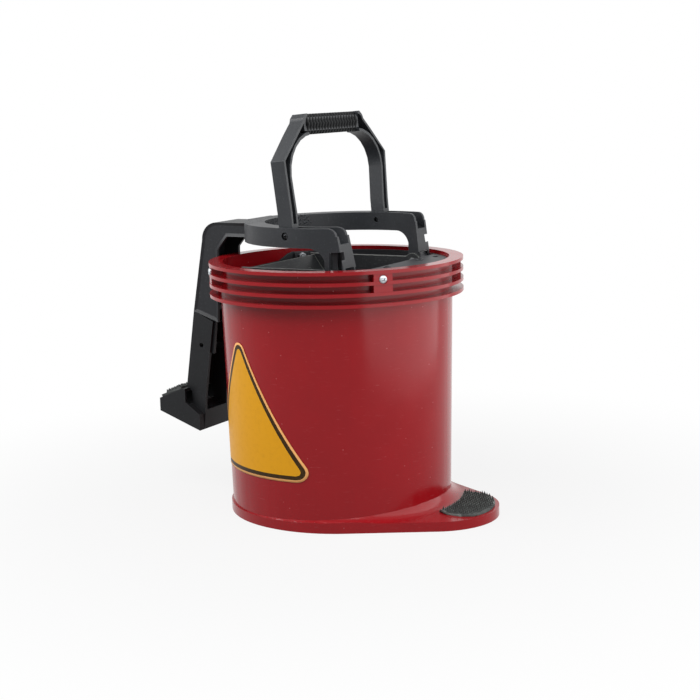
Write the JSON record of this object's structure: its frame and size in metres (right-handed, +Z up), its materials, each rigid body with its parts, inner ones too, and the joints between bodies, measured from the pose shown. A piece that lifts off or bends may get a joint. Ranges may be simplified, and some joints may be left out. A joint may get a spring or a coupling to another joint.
{
  "type": "wringer mop bucket",
  "caption": "Round red mop bucket with a foot step, ribbed rim, and a black pedal-operated roller wringer hinged over the mouth under an upright carry handle.",
  "frame": {"origin": "on the bucket's axis, in the plane of the floor that the bucket stands on", "axes": "+Z up along the bucket's axis, +X towards the foot step, -X towards the pedal lever, +Y along the hinge pins"},
  "size_m": [0.4357, 0.297, 0.4631],
  "materials": {
    "red_bucket_plastic": "satin moulded polypropylene with a soft sheen",
    "black_nylon": "fine-grained black nylon",
    "black_stud_pad": "matt black studded pad",
    "yellow_vinyl": "satin printed vinyl, plain",
    "zinc_screw": "bright zinc plate",
    "black_screw": "black oxide",
    "steel_axle": "drawn steel rod",
    "grey_roller_plastic": "plain grey moulded plastic"
  },
  "bodies": {
    "bucket_body": {"bucket": "red_bucket_plastic", "step_pad": "black_stud_pad", "side_sticker": "yellow_vinyl", "wringer_ring": "black_nylon", "ring_screws": "zinc_screw", "ring_nuts": "zinc_screw", "fixed_jaw": "black_nylon", "jaw_screws": "zinc_screw", "fixed_axle": "steel_axle"},
    "wringer_lever": {"yoke": "black_nylon", "rear_arm": "black_nylon", "arm_screws": "zinc_screw", "pedal_lever": "black_nylon", "lever_bolt": "black_screw", "pedal_tread": "black_stud_pad", "hinge_pin_near": "steel_axle", "hinge_pin_far": "steel_axle", "moving_jaw": "black_nylon", "moving_axle": "steel_axle", "handle_pivot_near": "black_screw", "handle_pivot_far": "black_screw"},
    "bail": {"carry_handle": "black_nylon", "handle_grip": "black_nylon"},
    "roller_fixed": {"fixed_roller": "grey_roller_plastic"},
    "roller_moving": {"moving_roller": "grey_roller_plastic"}
  },
  "joints": [
    {"name": "wringer_hinge", "type": "hinge", "parent": "bucket_body", "child": "wringer_lever", "pos_m": [0.0615, 0, 0.284], "axis": [0, 1, 0], "range_deg": [0, 22]},
    {"name": "bail_hinge", "type": "hinge", "parent": "wringer_lever", "child": "bail", "pos_m": [0.0035, 0, 0.331], "axis": [0, 1, 0], "range_deg": [0, 54]},
    {"name": "fixed_roller_spin", "type": "hinge", "parent": "bucket_body", "child": "roller_fixed", "pos_m": [0.016, 0, 0.214], "axis": [0, 1, 0], "continuous": true},
    {"name": "moving_roller_spin", "type": "hinge", "parent": "wringer_lever", "child": "roller_moving", "pos_m": [-0.016, 0, 0.214], "axis": [0, 1, 0], "continuous": true}
  ]
}
